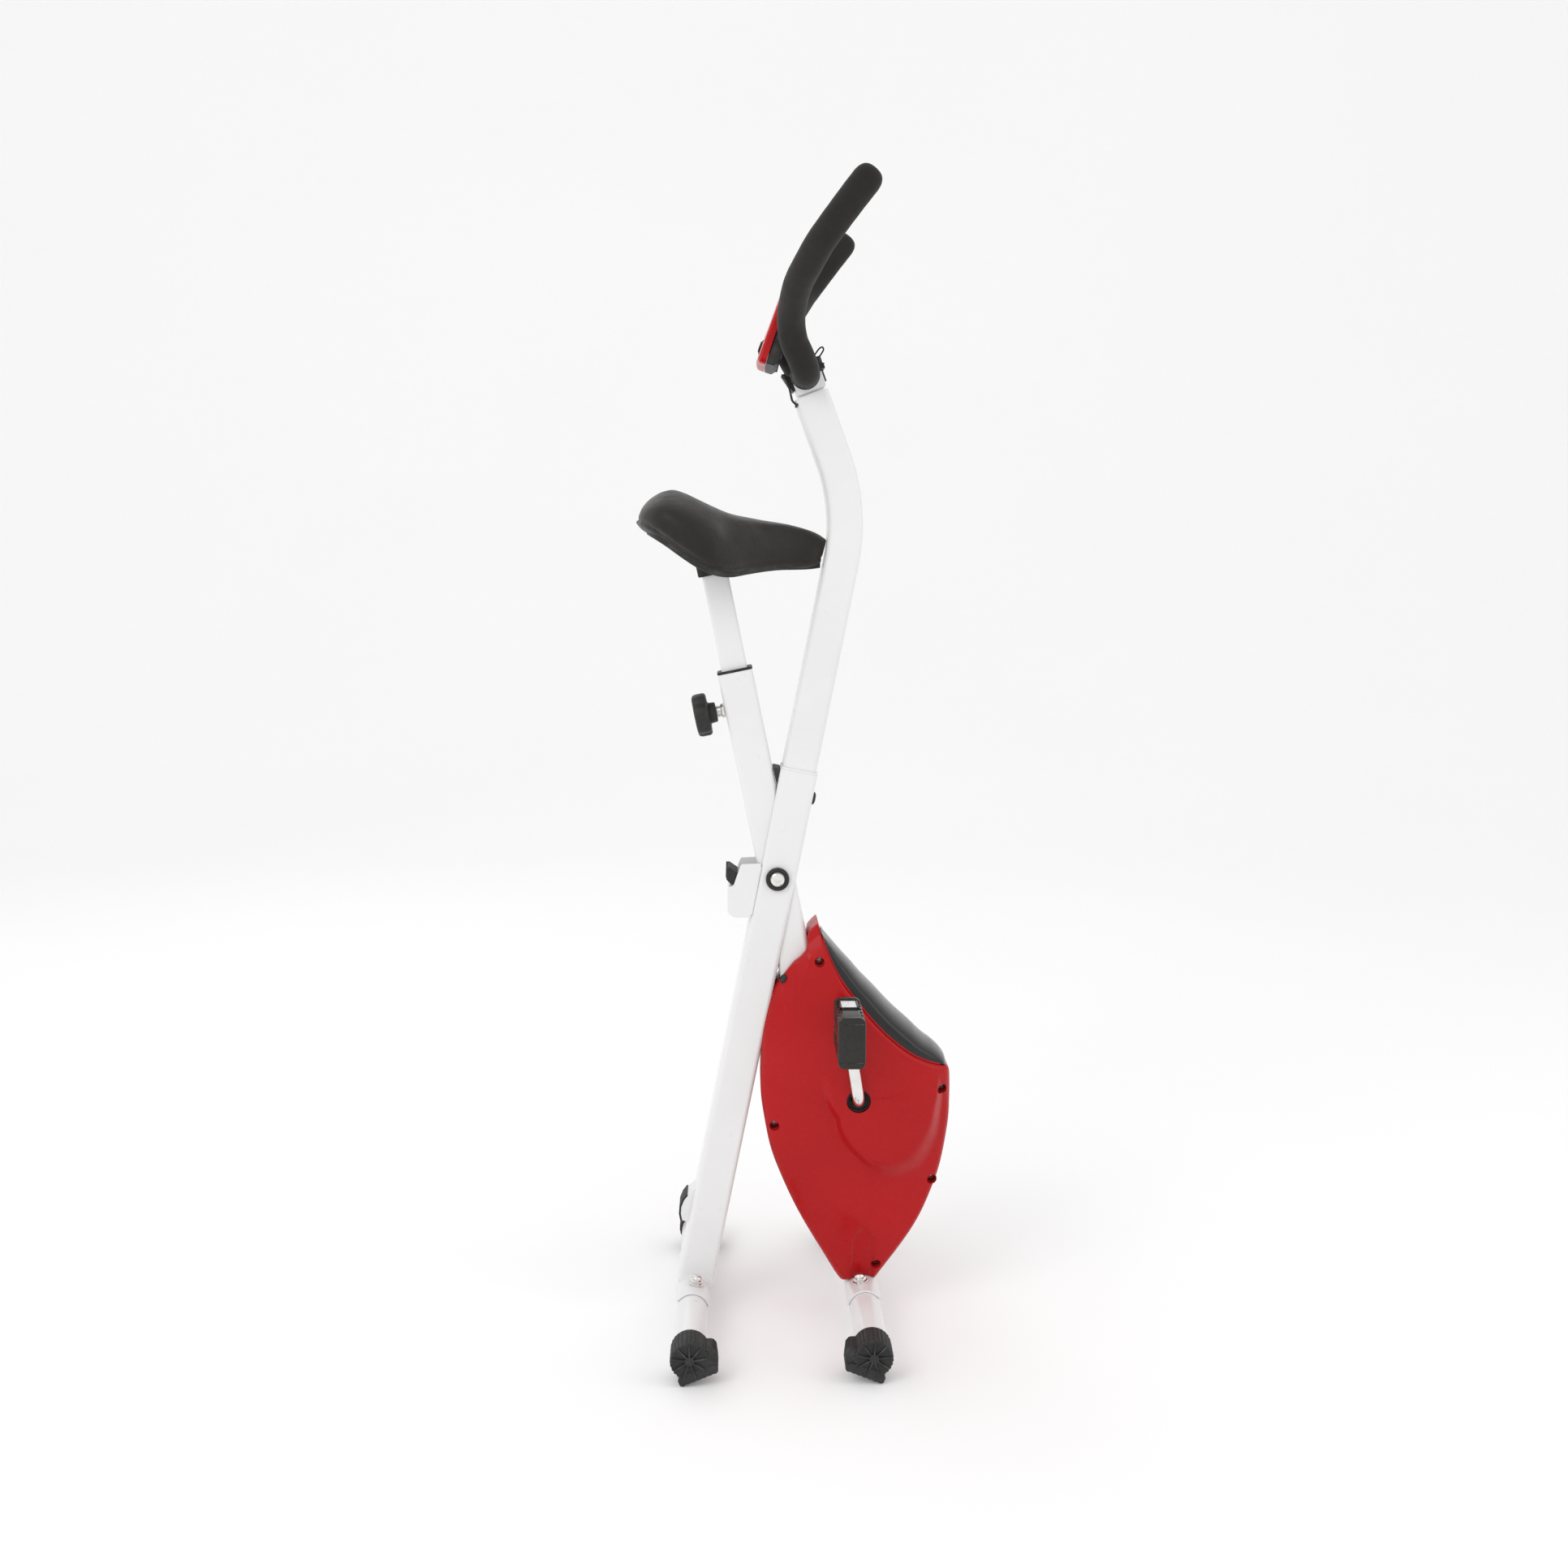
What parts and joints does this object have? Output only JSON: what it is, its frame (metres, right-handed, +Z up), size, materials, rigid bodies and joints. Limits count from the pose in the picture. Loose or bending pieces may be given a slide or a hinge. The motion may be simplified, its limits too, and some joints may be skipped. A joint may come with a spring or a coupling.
{
  "type": "exercise bike",
  "caption": "Folding X-frame exercise bike shown folded: belt-driven flywheel in a side housing, cranks and pedals, padded saddle on a sliding post, U handlebar with display.",
  "frame": {"origin": "on the floor, below the middle of the overall box of the folded bike", "axes": "+Z up, +X the way the rider faces, +Y to the rider's left"},
  "size_m": [0.3778, 0.4323, 1.3429],
  "materials": {
    "white_paint": "satin powder coat, white",
    "red_shell": "glossy moulded plastic, red",
    "black_gloss": "glossy moulded plastic, black",
    "black_plastic": "fine moulded grain, black",
    "rubber_black": "moulded rubber, black",
    "foam_grip": "closed cell foam, dark grey",
    "seat_cover": "grained vinyl cover over foam, black brown",
    "chrome": "bright plated",
    "steel": "turned and zinc plated steel",
    "iron": "painted cast iron",
    "pedal_resin": "moulded resin, black, with grey edge",
    "display_lens": "clear window over a dark display"
  },
  "bodies": {
    "main_frame": {"rear_leg_tube": "white_paint", "frame_cheek_near": "white_paint", "frame_cheek_far": "white_paint", "frame_front_web": "white_paint", "frame_rear_web": "white_paint", "frame_socket_tube": "white_paint", "fold_bumper": "rubber_black", "post_bolt": "black_plastic", "handlebar_post": "white_paint", "stop_bracket": "white_paint", "stop_bumper": "rubber_black", "pivot_bolt": "chrome", "pivot_cap_near": "black_plastic", "handlebar_clamp_base": "black_plastic", "handlebar_clamp_cap": "black_plastic", "clamp_bolt": "black_plastic", "handlebar_tube": "white_paint", "grip_near": "foam_grip", "grip_far": "foam_grip", "console_bezel": "red_shell", "console_lens": "display_lens", "console_back": "black_plastic", "console_bracket": "black_plastic", "console_lead": "rubber_black", "rear_stabiliser": "white_paint", "rear_saddle": "white_paint", "rear_bolt_near": "chrome", "rear_bolt_far": "chrome", "rear_foot_near": "rubber_black", "rear_foot_far": "rubber_black"},
    "console_key": {"console_button": "black_plastic"},
    "seat_frame": {"seat_tube": "white_paint", "pivot_bush": "black_plastic", "sleeve_collar": "black_plastic", "knob_boss": "chrome", "flywheel_bush": "steel", "front_stabiliser": "white_paint", "front_saddle": "white_paint", "front_bolt_near": "chrome", "front_bolt_far": "chrome", "front_foot_near": "rubber_black", "front_foot_far": "rubber_black", "bottom_bracket": "steel", "drive_belt": "rubber_black", "housing_shell_near": "red_shell", "housing_shell_far": "red_shell", "housing_top_cover": "black_gloss"},
    "saddle_slide": {"seat_post": "white_paint", "seat_base": "black_plastic", "seat_pad": "seat_cover"},
    "height_pin": {"seat_pin": "steel"},
    "height_knob": {"seat_knob": "black_plastic"},
    "crankset": {"crank": "chrome", "drive_pulley": "black_gloss"},
    "pedal_near_body": {"pedal_near": "pedal_resin"},
    "pedal_far_body": {"pedal_far": "pedal_resin"},
    "flywheel_set": {"flywheel": "iron", "flywheel_axle": "steel"},
    "magnet_brake": {"magnet_bracket": "steel"},
    "resistance_knob": {"tension_knob": "black_plastic"}
  },
  "joints": [
    {"name": "fold", "type": "hinge", "parent": "main_frame", "child": "seat_frame", "pos_m": [-0.0209, 0, 0.5542], "axis": [0, -1, 0], "range_deg": [0, 44]},
    {"name": "seat_height", "type": "slide", "parent": "seat_frame", "child": "saddle_slide", "axis": [-0.1977, 0, 0.9803], "range_m": [0, 0.075]},
    {"name": "seat_pin_pull", "type": "slide", "parent": "seat_frame", "child": "height_pin", "axis": [-0.9803, 0, -0.1977], "range_m": [0, 0.01], "stiffness_N_per_m": 600, "springref_m": -0.003},
    {"name": "seat_knob_turn", "type": "hinge", "parent": "height_pin", "child": "height_knob", "pos_m": [-0.11044, 0, 0.75037], "axis": [-0.9803, 0, -0.1977], "range_deg": [0, 540]},
    {"name": "crank_spin", "type": "hinge", "parent": "seat_frame", "child": "crankset", "pos_m": [0.0761, 0, 0.287], "axis": [0, 1, 0], "continuous": true},
    {"name": "pedal_near_spin", "type": "hinge", "parent": "crankset", "child": "pedal_near_body", "pos_m": [0.05916, -0.134, 0.39518], "axis": [0, 1, 0], "continuous": true},
    {"name": "pedal_far_spin", "type": "hinge", "parent": "crankset", "child": "pedal_far_body", "pos_m": [0.09304, 0.134, 0.17882], "axis": [0, 1, 0], "continuous": true},
    {"name": "flywheel_spin", "type": "hinge", "parent": "seat_frame", "child": "flywheel_set", "pos_m": [0.06798, 0, 0.15387], "axis": [0, 1, 0], "continuous": true},
    {"name": "tension_turn", "type": "hinge", "parent": "seat_frame", "child": "resistance_knob", "pos_m": [0.0131, 0.07, 0.418], "axis": [0, 1, 0], "range_deg": [0, 270]},
    {"name": "magnet_swing", "type": "hinge", "parent": "seat_frame", "child": "magnet_brake", "pos_m": [0.07582, 0.0335, 0.22846], "axis": [0, -1, 0], "range_deg": [0, 16]},
    {"name": "console_button_press", "type": "slide", "parent": "main_frame", "child": "console_key", "axis": [0.9367, 0, -0.3502], "range_m": [0, 0.0015], "stiffness_N_per_m": 900, "springref_m": -0.0006}
  ],
  "couplings": [
    {"joint": "flywheel_spin", "follows": "crank_spin", "ratio": 4.1111},
    {"joint": "magnet_swing", "follows": "tension_turn", "ratio": 0.055556}
  ]
}
